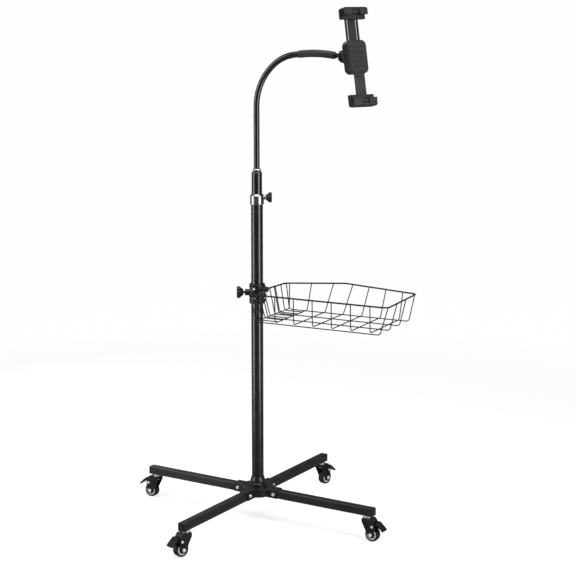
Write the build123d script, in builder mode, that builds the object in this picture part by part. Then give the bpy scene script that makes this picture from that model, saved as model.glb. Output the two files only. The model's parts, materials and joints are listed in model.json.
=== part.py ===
from build123d import *
import os
from math import asin, atan2, cos, degrees, hypot, radians, sin, sqrt

# Tablet floor stand on four casters, with a telescoping pole, a gooseneck, a sliding
# tablet holder and a wire basket clamped to the pole. Millimetres, floor at Z = 0, Z up.
# The origin is on the floor under the pole's axis.

# Directions of the four legs about the pole, seen from above
LEG_AZIMUTHS = {"right": -31.6, "rear": 58.4, "left": 148.4, "front": 238.4}

# Legs: square steel tube
LEG_SIZE = 22
LEG_WALL = 1.5
LEG_TOP = 89.5
LEG_REACH = 361
LEG_INNER_END = 26
LEG_CORNER = 2
CAP_FLANGE = 2
CAP_PLUG = 8
CAP_DRAFT = 0.1
CAP_TAPER = 20

# Hub bracket over the inner leg ends
HUB_PLATE = 2.5
HUB_DRUM_RADIUS = 37
HUB_DRUM_WALL = 2.2
HUB_REACH = 70
HUB_WALL = 2.2
HUB_CLEARANCE = 0.1
HUB_DROP = 24.5
HUB_PLATE_RADIUS = 48
HUB_SCALLOP_RADIUS = 19
HUB_SCALLOP_PLACE = 58
HUB_BOLT_PLACE = 58
HUB_EDGE = 0.8
HUB_TAB_WIDTH = 12

# Cross bolts of the legs
BOLT_RADIUS = 2.5
BOLT_HEAD_RADIUS = 4.6
BOLT_HEAD = 2.6
BOLT_HEAD_TAPER = 25
BOLT_FIT = 0.1
NUT_ACROSS = 8
NUT_HEIGHT = 3.5

# Foot socket on the hub
FOOT_RADIUS = 20.3
FOOT_STEP = 1.4
FOOT_STEP_HEIGHT = 8
FOOT_RING_HEIGHT = 16
FOOT_HEIGHT = 26
FOOT_LIP = 1.2
FOOT_FLANGE_RADIUS = 25.5
FOOT_FLANGE = 1.6
CENTER_BOLT_RADIUS = 5
CENTER_HEAD_ACROSS = 16
CENTER_HEAD = 7
CENTER_WASHER_RADIUS = 15
CENTER_WASHER = 1.6
FOOT_FLOOR = 5
CENTER_BOLT_TIP = 6

# Poles
POLE_RADIUS = 16
POLE_WALL = 1
LOWER_POLE_TOP = 872
UPPER_POLE_RADIUS = 14
UPPER_POLE_WALL = 1.2
UPPER_POLE_BOTTOM = 480
UPPER_POLE_TOP = 948.3
BUSHING_LENGTH = 34
RUNNING_FIT = 0.05
GUIDE_LEDGE = 14
GUIDE_SEAT_DEPTH = 30
GUIDE_BORE_RADIUS = 8
GUIDE_BEVEL = 1.5

# Steel collar at the top of the lower pole
COLLAR_RADIUS = 18.75
COLLAR_BOTTOM = 865.3
COLLAR_TOP = 893.2
COLLAR_BEVEL = 3
COLLAR_BEVEL_DROP = 4
COLLAR_LOWER_BEVEL = 1.6
COLLAR_SCREW_HEIGHT = 884
COLLAR_BOSS_RADIUS = 6.5
COLLAR_BOSS_REACH = 22.2
COLLAR_BOSS_EDGE = 0.8
COLLAR_PLAY = 0.2
SCREW_RADIUS = 3
SCREW_GAP = 0.3
SCREW_FIT = 0.05
SCREW_CHAMFER = 0.6

# Gooseneck: a bent tube in an upright plane, then a rubber grip sleeve
NECK_AZIMUTH = -22
NECK_RADIUS = 8
NECK_ROOT = 936
NECK_BEND_START = 1122
NECK_FIRST_BEND = 148
NECK_FIRST_ANGLE = 47
NECK_SECOND_BEND = 108
NECK_SECOND_ANGLE = 37
NECK_END_RUN = 8.7
ADAPTER_PLUG = 24
ADAPTER_LIP = 2.4
ADAPTER_NECK_WALL = 3.2
ADAPTER_NECK_HEIGHT = 9
ADAPTER_NECK_BEVEL = 1.2
ADAPTER_EDGE = 0.6
GRIP_RADIUS = 9.6
GRIP_SOCKET = 12
GRIP_BEND = 315
GRIP_ANGLE = 16
GRIP_ROUND = 2
FERRULE_RADIUS = 8.6
FERRULE_NOSE_RADIUS = 6.4
FERRULE_LENGTH = 5
FERRULE_WALL = 2
STUD_REACH = 19.8
STUD_NECK_RADIUS = 3.5
BALL_RADIUS = 8.6

# Holder: its tilt, and where it stands on the ball
HOLDER_YAW = 31.8
HOLDER_LEAN = 12
HOLDER_STAND_OFF = 71.6
HOLDER_LIFT = 11
SOCKET_REACH = 29.2
SOCKET_RADIUS = 12
SOCKET_MOUTH = 2.6
SOCKET_CUP = 12
SOCKET_SHOULDER_RADIUS = 14
SOCKET_SHOULDER = 2
SOCKET_FLANGE_RADIUS = 17
SOCKET_FLANGE = 5
SOCKET_PEG_RADIUS = 6
SOCKET_PEG = 9
RING_RADIUS = 15.4
RING_HEIGHT = 9
RING_EDGE = 0.5
RING_LOBES = 12
RING_LOBE_RADIUS = 1.6
RING_GAP = 0.4

# Jaws that hold the tablet
JAW_OPENING = 218
TABLET_THICKNESS = 7
JAW_WIDTH = 70
JAW_LIP = 5
JAW_LIP_THICKNESS = 4
JAW_TOP_RISE = 14
JAW_LOW_DROP = 17
JAW_RECESS = 25
JAW_RECESS_RISE = 9
JAW_DEPTH_BEHIND = 14
JAW_BACK = 14
JAW_BEVEL = 3.5
JAW_CORNER = 6
JAW_EDGE = 1
JAW_RIDGE_RADIUS = 1.5
PAD_THICKNESS = 1.5
PAD_MARGIN = 3
PAD_EDGE = 0.5

# Housing behind the tablet, with the tongue and rails that the upper jaw slides on
BODY_WIDTH = 58
BODY_LENGTH = 84
BODY_DEPTH = 24
BODY_CORNER = 14
BODY_EDGE = 3
BODY_BOSS_RADIUS = 17
BODY_BOSS_ROOT_RADIUS = 22
BACK_PAD_THICKNESS = 2.4
BACK_PAD_MARGIN = 6
BACK_PAD_GROOVE = 1
BACK_PAD_GROOVES = 5
BACK_PAD_PITCH = 12
RAIL_RADIUS = 3
RAIL_SPREAD = 34
RAIL_INSERT = 30
RAIL_BORE = 82
RAIL_FIT = 0.06
SLIDE_DEPTH = 12
TONGUE_WIDTH = 22
TONGUE_THICKNESS = 4
TONGUE_FIT = 0.15
TONGUE_INSERT = 76
STRAP_WIDTH = 30
STRAP_THICKNESS = 4
STRAP_INSERT = 14
LOCK_KNOB_RADIUS = 11
LOCK_KNOB_HEIGHT = 12
LOCK_KNOB_NECK_RADIUS = 5.5
LOCK_KNOB_PLACE = -26
LOCK_KNOB_GAP = 1

# Knobs
KNOB_RADIUS = 13.9
KNOB_LENGTH = 16.4
KNOB_START = 4.7
KNOB_NECK_RADIUS = 6
KNOB_LOBES = 6
KNOB_LOBE_RADIUS = 4.6
KNOB_EDGE = 1.5
KNOB_NECK_SHARE = 0.42
KNOB_SKIRT_SHARE = 0.82
KNOB_LOBE_OUT_SHARE = 0.35
KNOB_DISH_SHARE = 0.45
KNOB_DISH = 1.2

# Basket clamp on the pole: a sliding liner with two flanges, and two half shells round it
LINER_WALL = 2
LINER_FLANGE = 5
LINER_FLANGE_EDGE = 0.8
CLAMP_RADIUS = 21.1
CLAMP_BOTTOM_DROP = 40
CLAMP_TOP_RISE = 12.6
CLAMP_PLAY = 0.1
CLAMP_SPLIT = 1.2
CLAMP_EAR_REACH = 30.5
CLAMP_EAR_HEIGHT = 12
CLAMP_EAR_THICKNESS = 5
CLAMP_EAR_OFFSET = 13
CLAMP_SCREW_PLACE = 25.6
CLAMP_SCREW_RADIUS = 1.8
CLAMP_SCREW_HEAD_RADIUS = 3.4
CLAMP_SCREW_HEAD = 2.2
CLAMP_BOSS_RADIUS = 8.5
CLAMP_BOSS_REACH = 33
CLAMP_BOSS_EDGE = 1
CLAMP_PAD_REACH = 22.4
CLAMP_PAD_WIDTH = 16
CLAMP_KNOB_DROP = 11
BASKET_KNOB_RADIUS = 16
BASKET_KNOB_LENGTH = 17.4
BASKET_KNOB_NECK_RADIUS = 7.5
BASKET_KNOB_START = 36.8

# Hook bracket that carries the basket's rim
HOOK_WIDTH = 14
HOOK_THICKNESS = 3
HOOK_DROP = 27
HOOK_NOSE = 12
HOOK_ROUND = 1.5
HOOK_SCREW_RADIUS = 2
HOOK_SCREW_HEAD_RADIUS = 3.8
HOOK_SCREW_HEAD = 1.8
HOOK_SCREW_DEPTH = 3
HOOK_SCREW_PITCH = 14
HOOK_SCREW_DROP = 17

# Basket of welded wire: its plan runs from the front left corner along the near side
BASKET_AZIMUTH = -27
BASKET_PLACE = 86.5
BASKET_RIM_HEIGHT = 640
BASKET_DEPTH = 72
RIM_RADIUS = 2.1
WIRE_RADIUS = 1.4
RIM_LENGTH = 396
RIM_END_PLACE = 389
RIM_END_WIDTH = 203
RIM_BACK_PLACE = 160
RIM_BACK_WIDTH = 257
RIM_POLE_SHIFT = 13
RIM_POLE_WIDTH = 187
RIM_CORNER = 14
FLOOR_START = 23
FLOOR_END = 374
FLOOR_FRONT = 3
FLOOR_BACK = 191
WIRE_CORNER = 10
WIRE_SINK = 0.5
LONG_WIRES = 4
CROSS_WIRES = 7
CROSS_PITCH = 54
POLE_WIRES = 6
POLE_WIRE_PITCH = 28.5
POLE_WIRE_START = 20

# Casters: sizes along the trail, heights above the axle
WHEEL_RADIUS = 19
WHEEL_WIDTH = 18
WHEEL_CORE_RADIUS = 15
WHEEL_CORE_WIDTH = 15
WHEEL_RING_RADIUS = 13.4
WHEEL_RING_WALL = 2.6
WHEEL_RING_RISE = 1
WHEEL_BOSS_RADIUS = 5.5
WHEEL_BOSS_WIDTH = 19
TYRE_EDGE = 2.5
AXLE_RADIUS = 3
AXLE_HEAD_RADIUS = 5
AXLE_HEAD = 2.4
AXLE_HEAD_EDGE = 0.7
FORK_WIDTH = 26
FORK_CHEEK = 3
FORK_TOP = 62
FORK_CROWN = 8
FORK_NOSE_RADIUS = 9
FORK_CORNER = 3
FORK_HUB_RADIUS = 12
CHEEK_SHARES = (
    (-1.42, 2.26),
    (-1.42, 1.72),
    (-0.5, -0.05),
    (0.42, -0.05),
    (0.6, 1),
    (0.56, 1.55),
    (0.1, 2.26),
)
RIB_WIDTH = 2
RIB_RISE = 0.8
RIB_SHARES = ((-1.1, 1.75), (-0.1, 1.75))
TRAIL = 17
STEM_INSET = 20
STEM_RADIUS = 5
STEM_BEARING_RADIUS = 10
STEM_HEAD = 2.5
STEM_HEAD_RADIUS = 7.5
STEM_NUT_ACROSS = 14
STEM_NUT = 6
STEM_TIP = 2
STEM_PLAY = 0.1
BRAKE_PIN_PLACE = (4, 22.9)
BRAKE_PIN_RADIUS = 1.8
BRAKE_HEAD_RADIUS = 3.4
BRAKE_HEAD = 1.4
PEDAL_HUB_RADIUS = 3.4
PEDAL_PLAY = 0.4
PEDAL_WIDTH = 24
PEDAL_THICKNESS = 3.5
PEDAL_TOP = (14, 34)
PEDAL_TIP = (36, 14)
PEDAL_ARM = 6
PEDAL_NOTCH_WIDTH = 8
PEDAL_NOTCH = 7
PEDAL_LIP = 4
PEDAL_LIP_RISE = 2.5
PEDAL_CORNER = 3
TRAIL_AZIMUTHS = {"right": -32, "rear": 48, "left": 150, "front": 220}

# Heights and radii that follow from the sizes above
leg_bottom = LEG_TOP - LEG_SIZE
leg_axis_height = LEG_TOP - LEG_SIZE / 2
leg_end = LEG_REACH - CAP_FLANGE
stem_place = LEG_REACH - STEM_INSET
hub_top = LEG_TOP + HUB_PLATE
hub_bottom = hub_top - HUB_DROP
sleeve_gap_width = LEG_SIZE + 2 * HUB_CLEARANCE
sleeve_width = sleeve_gap_width + 2 * HUB_WALL
pole_bottom = hub_top + FOOT_FLOOR
pole_bore = POLE_RADIUS - POLE_WALL
upper_pole_bore = UPPER_POLE_RADIUS - UPPER_POLE_WALL

os.makedirs("parts", exist_ok=True)


def leg_plane(azimuth, distance=0, height=0):
    """Plane square to a leg, at a distance from the pole's axis, its Z axis outward."""
    out = Vector(cos(radians(azimuth)), sin(radians(azimuth)), 0)
    across = Vector(-sin(radians(azimuth)), cos(radians(azimuth)), 0)
    return Plane(origin=out * distance + Vector(0, 0, height), x_dir=across, z_dir=out)


def side_plane(azimuth, distance=0, height=0):
    """Plane whose Z axis runs across a leg, with its X axis outward."""
    out = Vector(cos(radians(azimuth)), sin(radians(azimuth)), 0)
    across = Vector(-sin(radians(azimuth)), cos(radians(azimuth)), 0)
    return Plane(origin=out * distance + Vector(0, 0, height), x_dir=out, z_dir=across)


def profile_plane(plane):
    """Plane through another one's Z axis: its X is the radius and its Y the axis."""
    return Plane(origin=plane.origin, x_dir=plane.x_dir, z_dir=-plane.y_dir)


def turned(plane, outline):
    """Solid made by turning an outline of (radius, distance) corners about a plane's Z."""
    with BuildPart() as piece:
        with BuildSketch(profile_plane(plane)):
            with BuildLine():
                Polyline(*outline, close=True)
            make_face()
        revolve(axis=Axis(plane.origin, plane.z_dir))
    return piece.part


# Hub bracket: one stamping with a drum, four channel sleeves and a scalloped top plate
with BuildPart() as hub:
    with BuildSketch(Plane.XY.offset(hub_bottom)):
        Circle(HUB_DRUM_RADIUS)
        for azimuth in LEG_AZIMUTHS.values():
            with Locations(Rotation(0, 0, azimuth)):
                Rectangle(HUB_REACH, sleeve_width, align=(Align.MIN, Align.CENTER))
    extrude(amount=HUB_DROP)
    with BuildSketch(Plane.XY.offset(LEG_TOP)):
        Circle(HUB_PLATE_RADIUS)
        for azimuth in LEG_AZIMUTHS.values():
            with Locations(Rotation(0, 0, azimuth + 45) * Pos(HUB_SCALLOP_PLACE, 0)):
                Circle(HUB_SCALLOP_RADIUS, mode=Mode.SUBTRACT)
    extrude(amount=HUB_PLATE)
    fillet(hub.faces().sort_by(Axis.Z)[-1].edges(), radius=HUB_EDGE)
    with BuildSketch(Plane.XY.offset(hub_bottom)):
        Circle(HUB_DRUM_RADIUS - HUB_DRUM_WALL)
        for azimuth in LEG_AZIMUTHS.values():
            with Locations(Rotation(0, 0, azimuth)):
                Rectangle(HUB_REACH, sleeve_gap_width, align=(Align.MIN, Align.CENTER))
    extrude(amount=HUB_DROP - HUB_PLATE, mode=Mode.SUBTRACT)
    # A notch at the mouth of each sleeve leaves a short tab over the leg
    for azimuth in LEG_AZIMUTHS.values():
        with BuildSketch(leg_plane(azimuth, HUB_REACH)):
            with Locations((0, hub_top)):
                for side in (-1, 1):
                    with Locations((side * (HUB_TAB_WIDTH + sleeve_width) / 4 + side * HUB_EDGE, 0)):
                        Rectangle((sleeve_width - HUB_TAB_WIDTH) / 2, HUB_PLATE)
        extrude(amount=-HUB_EDGE, mode=Mode.SUBTRACT)
        with BuildSketch(side_plane(azimuth, HUB_BOLT_PLACE, leg_axis_height)):
            Circle(BOLT_RADIUS + BOLT_FIT)
        extrude(amount=sleeve_width, both=True, mode=Mode.SUBTRACT)
    with Locations((0, 0, hub_top)):
        Hole(CENTER_BOLT_RADIUS, depth=HUB_DROP)
hub.part.label = "hub_bracket"
export_step(hub.part, "parts/hub_bracket.step")

# Foot socket: a cast cup that the pole stands in, stepped and coned up to the pole
foot_ring = hub_top + FOOT_RING_HEIGHT
foot_step = hub_top + FOOT_STEP_HEIGHT
foot_top = hub_top + FOOT_HEIGHT
foot_mouth = POLE_RADIUS + FOOT_LIP
with BuildPart() as foot:
    with BuildSketch(Plane.XZ):
        with BuildLine():
            Polyline(
                (CENTER_BOLT_RADIUS, hub_top),
                (FOOT_FLANGE_RADIUS, hub_top),
                (FOOT_FLANGE_RADIUS, hub_top + FOOT_FLANGE),
                (FOOT_RADIUS + FOOT_STEP, hub_top + FOOT_FLANGE),
                (FOOT_RADIUS + FOOT_STEP, foot_step),
                (FOOT_RADIUS, foot_step + FOOT_STEP),
                (FOOT_RADIUS, foot_ring),
                (foot_mouth, foot_top),
                (POLE_RADIUS, foot_top),
                (POLE_RADIUS, pole_bottom),
                (CENTER_BOLT_RADIUS, pole_bottom),
                close=True,
            )
        make_face()
    revolve(axis=Axis.Z)
foot.part.label = "hub_foot_socket"
export_step(foot.part, "parts/hub_foot_socket.step")

# Bolt and washer under the hub plate, screwed into the foot socket
bolt_seat = LEG_TOP - CENTER_WASHER
with BuildPart() as center_bolt:
    with BuildSketch(Plane.XY.offset(bolt_seat)):
        Circle(CENTER_WASHER_RADIUS)
    extrude(amount=CENTER_WASHER)
    with BuildSketch(Plane.XY.offset(bolt_seat)):
        RegularPolygon(CENTER_HEAD_ACROSS / 2, side_count=6, major_radius=False)
    extrude(amount=-CENTER_HEAD)
    with BuildSketch(Plane.XY.offset(bolt_seat)):
        Circle(CENTER_BOLT_RADIUS)
    extrude(amount=pole_bottom + CENTER_BOLT_TIP - bolt_seat)
    chamfer(center_bolt.faces().sort_by(Axis.Z)[-1].edges(), length=HUB_EDGE)
center_bolt.part.label = "hub_center_bolt"
export_step(center_bolt.part, "parts/hub_center_bolt.step")

# Four square legs, drilled for the cross bolts and the caster stems
for side, azimuth in LEG_AZIMUTHS.items():
    with BuildPart() as leg:
        with BuildSketch(leg_plane(azimuth, LEG_INNER_END, leg_axis_height)):
            RectangleRounded(LEG_SIZE, LEG_SIZE, LEG_CORNER)
            RectangleRounded(
                LEG_SIZE - 2 * LEG_WALL,
                LEG_SIZE - 2 * LEG_WALL,
                LEG_CORNER / 2,
                mode=Mode.SUBTRACT,
            )
        extrude(amount=leg_end - LEG_INNER_END)
        with BuildSketch(side_plane(azimuth, HUB_BOLT_PLACE, leg_axis_height)):
            Circle(BOLT_RADIUS + BOLT_FIT)
        extrude(amount=LEG_SIZE, both=True, mode=Mode.SUBTRACT)
        with BuildSketch(Plane.XY.offset(leg_bottom)):
            with Locations(Rotation(0, 0, azimuth) * Pos(stem_place, 0)):
                Circle(STEM_RADIUS)
        extrude(amount=LEG_SIZE / 2, mode=Mode.SUBTRACT)
    leg.part.label = f"leg_{side}"
    export_step(leg.part, f"parts/leg_{side}.step")

# Plastic plugs in the outer leg ends
with BuildPart() as end_caps:
    for azimuth in LEG_AZIMUTHS.values():
        with BuildSketch(leg_plane(azimuth, leg_end, leg_axis_height)):
            RectangleRounded(LEG_SIZE, LEG_SIZE, LEG_CORNER)
        extrude(amount=CAP_FLANGE, taper=CAP_TAPER)
        with BuildSketch(leg_plane(azimuth, leg_end, leg_axis_height)):
            RectangleRounded(
                LEG_SIZE - 2 * LEG_WALL - 2 * CAP_DRAFT,
                LEG_SIZE - 2 * LEG_WALL - 2 * CAP_DRAFT,
                LEG_CORNER / 2,
            )
        extrude(amount=-CAP_PLUG)
end_caps.part.label = "leg_end_caps"
export_step(end_caps.part, "parts/leg_end_caps.step")

# Cross bolts of the legs, with heads on one side of the sleeves and nuts on the other
with BuildPart() as leg_bolts:
    for azimuth in LEG_AZIMUTHS.values():
        bolt_plane = side_plane(azimuth, HUB_BOLT_PLACE, leg_axis_height)
        head_face = bolt_plane.offset(sleeve_width / 2)
        nut_face = bolt_plane.offset(-sleeve_width / 2)
        with BuildSketch(head_face):
            Circle(BOLT_HEAD_RADIUS)
        extrude(amount=BOLT_HEAD, taper=BOLT_HEAD_TAPER)
        with BuildSketch(nut_face):
            RegularPolygon(NUT_ACROSS / 2, side_count=6, major_radius=False)
        extrude(amount=-NUT_HEIGHT)
        with BuildSketch(nut_face):
            Circle(BOLT_RADIUS)
        extrude(amount=sleeve_width)
leg_bolts.part.label = "leg_bolts"
export_step(leg_bolts.part, "parts/leg_bolts.step")

# Outer pole tube
with BuildPart() as lower_pole:
    with BuildSketch(Plane.XY.offset(pole_bottom)):
        Circle(POLE_RADIUS)
        Circle(pole_bore, mode=Mode.SUBTRACT)
    extrude(amount=LOWER_POLE_TOP - pole_bottom)
lower_pole.part.label = "lower_pole"
export_step(lower_pole.part, "parts/lower_pole.step")

# Plastic bushing that guides the upper pole
with BuildPart() as bushing:
    with BuildSketch(Plane.XY.offset(LOWER_POLE_TOP)):
        Circle(pole_bore)
        Circle(UPPER_POLE_RADIUS + RUNNING_FIT, mode=Mode.SUBTRACT)
    extrude(amount=-BUSHING_LENGTH)
bushing.part.label = "pole_bushing"
export_step(bushing.part, "parts/pole_bushing.step")

# Bright clamp collar, seated on the end of the outer tube, with a boss for the screw
collar_plane = Plane(origin=(0, 0, COLLAR_SCREW_HEIGHT), x_dir=(0, 1, 0), z_dir=(1, 0, 0))
with BuildPart() as collar:
    with BuildSketch(Plane.XZ):
        with BuildLine():
            Polyline(
                (POLE_RADIUS, COLLAR_BOTTOM),
                (COLLAR_RADIUS - COLLAR_LOWER_BEVEL, COLLAR_BOTTOM),
                (COLLAR_RADIUS, COLLAR_BOTTOM + COLLAR_LOWER_BEVEL),
                (COLLAR_RADIUS, COLLAR_TOP - COLLAR_BEVEL_DROP),
                (COLLAR_RADIUS - COLLAR_BEVEL, COLLAR_TOP),
                (UPPER_POLE_RADIUS + COLLAR_PLAY, COLLAR_TOP),
                (UPPER_POLE_RADIUS + COLLAR_PLAY, LOWER_POLE_TOP),
                (POLE_RADIUS, LOWER_POLE_TOP),
                close=True,
            )
        make_face()
    revolve(axis=Axis.Z)
    with BuildSketch(collar_plane.offset(UPPER_POLE_RADIUS + COLLAR_BEVEL)):
        Circle(COLLAR_BOSS_RADIUS)
    extrude(amount=COLLAR_BOSS_REACH - UPPER_POLE_RADIUS - COLLAR_BEVEL)
    chamfer(collar.faces().sort_by(Axis.X)[-1].edges(), length=COLLAR_BOSS_EDGE)
    with BuildSketch(collar_plane):
        Circle(SCREW_RADIUS + SCREW_FIT)
    extrude(amount=COLLAR_BOSS_REACH, mode=Mode.SUBTRACT)
collar.part.label = "clamp_collar"
export_step(collar.part, "parts/clamp_collar.step")

# Stems of the casters, each with a flange under the leg, a nut inside it and a riveted head
stem_head_top = FORK_TOP - FORK_CROWN - STEM_PLAY
nut_seat = leg_bottom + LEG_WALL
with BuildPart() as stems:
    for azimuth in LEG_AZIMUTHS.values():
        stem_spot = Rotation(0, 0, azimuth) * Pos(stem_place, 0)
        with BuildSketch(Plane.XY.offset(stem_head_top - STEM_HEAD)):
            with Locations(stem_spot):
                Circle(STEM_HEAD_RADIUS)
        extrude(amount=STEM_HEAD)
        with BuildSketch(Plane.XY.offset(stem_head_top)):
            with Locations(stem_spot):
                Circle(STEM_RADIUS)
        extrude(amount=nut_seat + STEM_NUT + STEM_TIP - stem_head_top)
        with BuildSketch(Plane.XY.offset(FORK_TOP + STEM_PLAY)):
            with Locations(stem_spot):
                Circle(STEM_BEARING_RADIUS)
        extrude(amount=leg_bottom - FORK_TOP - STEM_PLAY)
        with BuildSketch(Plane.XY.offset(nut_seat)):
            with Locations(stem_spot):
                RegularPolygon(STEM_NUT_ACROSS / 2, side_count=6, major_radius=False, rotation=30)
        extrude(amount=STEM_NUT)
stems.part.label = "caster_stems"
export_step(stems.part, "parts/caster_stems.step")


def knob(plane, radius, length, neck_radius, bore, lobes=KNOB_LOBES):
    """Lobed clamping knob along a plane's Z axis: a tapered neck under a scalloped head."""
    head_start = length * KNOB_NECK_SHARE
    lobe_place = radius + KNOB_LOBE_RADIUS * KNOB_LOBE_OUT_SHARE
    with BuildPart() as body:
        with BuildSketch(plane) as head:
            Circle(radius)
            with PolarLocations(lobe_place, lobes, start_angle=180 / lobes):
                Circle(KNOB_LOBE_RADIUS, mode=Mode.SUBTRACT)
            fillet(head.vertices(), radius=KNOB_EDGE)
        extrude(amount=length)
        chamfer(body.faces().sort_by(Axis(plane.origin, plane.z_dir))[-1].edges(), length=KNOB_EDGE)
        with BuildSketch(profile_plane(plane)):
            with BuildLine():
                Polyline(
                    (neck_radius, 0),
                    (radius * KNOB_SKIRT_SHARE, head_start),
                    (radius, head_start + KNOB_EDGE),
                    (2 * radius, head_start + KNOB_EDGE),
                    (2 * radius, 0),
                    close=True,
                )
            make_face()
        revolve(axis=Axis(plane.origin, plane.z_dir), mode=Mode.SUBTRACT)
        with BuildSketch(plane.offset(length)):
            Circle(radius * KNOB_DISH_SHARE)
        extrude(amount=-KNOB_DISH, taper=CAP_TAPER, mode=Mode.SUBTRACT)
        if bore:
            with BuildSketch(plane):
                Circle(bore)
            extrude(amount=length - KNOB_DISH - KNOB_EDGE, mode=Mode.SUBTRACT)
    return body.part


# Clamp screw of the collar, its tip just off the upper pole, and its knob
screw_tip = UPPER_POLE_RADIUS + SCREW_GAP
collar_knob_start = COLLAR_RADIUS + KNOB_START
screw_end = collar_knob_start + KNOB_LENGTH - KNOB_DISH - KNOB_EDGE
with BuildPart() as collar_screw:
    with BuildSketch(collar_plane.offset(screw_tip)):
        Circle(SCREW_RADIUS)
    extrude(amount=screw_end - screw_tip)
    chamfer(collar_screw.faces().sort_by(Axis.X)[0].edges(), length=SCREW_CHAMFER)
collar_screw.part.label = "collar_knob_screw"
export_step(collar_screw.part, "parts/collar_knob_screw.step")

collar_knob = knob(
    collar_plane.offset(collar_knob_start), KNOB_RADIUS, KNOB_LENGTH, KNOB_NECK_RADIUS, SCREW_RADIUS
)
collar_knob.label = "collar_knob"
export_step(collar_knob, "parts/collar_knob.step")


# Plastic guide at the foot of the upper pole, running inside the outer tube
with BuildPart() as guide:
    with BuildSketch(Plane.XZ):
        with BuildLine():
            Polyline(
                (GUIDE_BORE_RADIUS, UPPER_POLE_BOTTOM - GUIDE_LEDGE),
                (pole_bore - GUIDE_BEVEL, UPPER_POLE_BOTTOM - GUIDE_LEDGE),
                (pole_bore - RUNNING_FIT, UPPER_POLE_BOTTOM - GUIDE_LEDGE + GUIDE_BEVEL),
                (pole_bore - RUNNING_FIT, UPPER_POLE_BOTTOM),
                (upper_pole_bore - RUNNING_FIT, UPPER_POLE_BOTTOM),
                (upper_pole_bore - RUNNING_FIT, UPPER_POLE_BOTTOM + GUIDE_SEAT_DEPTH),
                (GUIDE_BORE_RADIUS, UPPER_POLE_BOTTOM + GUIDE_SEAT_DEPTH),
                close=True,
            )
        make_face()
    revolve(axis=Axis.Z)
guide.part.label = "pole_guide_plug"
export_step(guide.part, "parts/pole_guide_plug.step")

# Inner pole tube
with BuildPart() as upper_pole:
    with BuildSketch(Plane.XY.offset(UPPER_POLE_BOTTOM)):
        Circle(UPPER_POLE_RADIUS)
        Circle(upper_pole_bore, mode=Mode.SUBTRACT)
    extrude(amount=UPPER_POLE_TOP - UPPER_POLE_BOTTOM)
upper_pole.part.label = "upper_pole"
export_step(upper_pole.part, "parts/upper_pole.step")

# Metal adapter that plugs the inner tube and holds the foot of the gooseneck
adapter_rim = NECK_RADIUS + ADAPTER_NECK_WALL
adapter_shoulder = UPPER_POLE_TOP + ADAPTER_LIP
with BuildPart() as adapter:
    with BuildSketch(Plane.XZ):
        with BuildLine():
            Polyline(
                (0, UPPER_POLE_TOP - ADAPTER_PLUG),
                (upper_pole_bore, UPPER_POLE_TOP - ADAPTER_PLUG),
                (upper_pole_bore, UPPER_POLE_TOP),
                (UPPER_POLE_RADIUS, UPPER_POLE_TOP),
                (UPPER_POLE_RADIUS, adapter_shoulder - ADAPTER_EDGE),
                (UPPER_POLE_RADIUS - ADAPTER_EDGE, adapter_shoulder),
                (adapter_rim, adapter_shoulder),
                (adapter_rim, adapter_shoulder + ADAPTER_NECK_HEIGHT - ADAPTER_NECK_BEVEL),
                (adapter_rim - ADAPTER_NECK_BEVEL, adapter_shoulder + ADAPTER_NECK_HEIGHT),
                (NECK_RADIUS, adapter_shoulder + ADAPTER_NECK_HEIGHT),
                (NECK_RADIUS, NECK_ROOT),
                (0, NECK_ROOT),
                close=True,
            )
        make_face()
    revolve(axis=Axis.Z)
adapter.part.label = "neck_adapter"
export_step(adapter.part, "parts/neck_adapter.step")

# Gooseneck: rises straight, then bends over in two arcs and runs into the grip sleeve
neck_turn = radians(NECK_AZIMUTH)
neck_plane = Plane(
    origin=(0, 0, 0),
    x_dir=(cos(neck_turn), sin(neck_turn), 0),
    z_dir=(sin(neck_turn), -cos(neck_turn), 0),
)
with BuildLine(neck_plane):
    neck_rise = Line((0, NECK_ROOT), (0, NECK_BEND_START))
    neck_arc = JernArc(neck_rise @ 1, neck_rise % 1, NECK_FIRST_BEND, -NECK_FIRST_ANGLE)
    neck_top = JernArc(neck_arc @ 1, neck_arc % 1, NECK_SECOND_BEND, -NECK_SECOND_ANGLE)
    neck_run = Line(neck_top @ 1, neck_top @ 1 + (neck_top % 1) * NECK_END_RUN)
    grip_run = Line(neck_run @ 1, neck_run @ 1 + (neck_run % 1) * GRIP_SOCKET)
    grip_arc = JernArc(grip_run @ 1, grip_run % 1, GRIP_BEND, -GRIP_ANGLE)
with BuildPart() as gooseneck:
    with BuildSketch(Plane.XY.offset(NECK_ROOT)):
        Circle(NECK_RADIUS)
    sweep(path=Wire([neck_rise, neck_arc, neck_top, neck_run, grip_run]))
gooseneck.part.label = "gooseneck"
export_step(gooseneck.part, "parts/gooseneck.step")

# Grip sleeve over the end of the gooseneck, gently drooping
neck_side = Vector(sin(neck_turn), -cos(neck_turn), 0)
grip_mouth = Plane(origin=grip_run @ 0, x_dir=neck_side, z_dir=grip_run % 0)
with BuildPart() as grip:
    with BuildSketch(grip_mouth):
        Circle(GRIP_RADIUS)
    sweep(path=Wire([grip_run, grip_arc]))
    fillet(grip.edges().filter_by(GeomType.CIRCLE), radius=GRIP_ROUND)
    with BuildSketch(grip_mouth):
        Circle(NECK_RADIUS + RUNNING_FIT)
    extrude(amount=GRIP_SOCKET, mode=Mode.SUBTRACT)
grip.part.label = "neck_grip_sleeve"
export_step(grip.part, "parts/neck_grip_sleeve.step")

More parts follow.
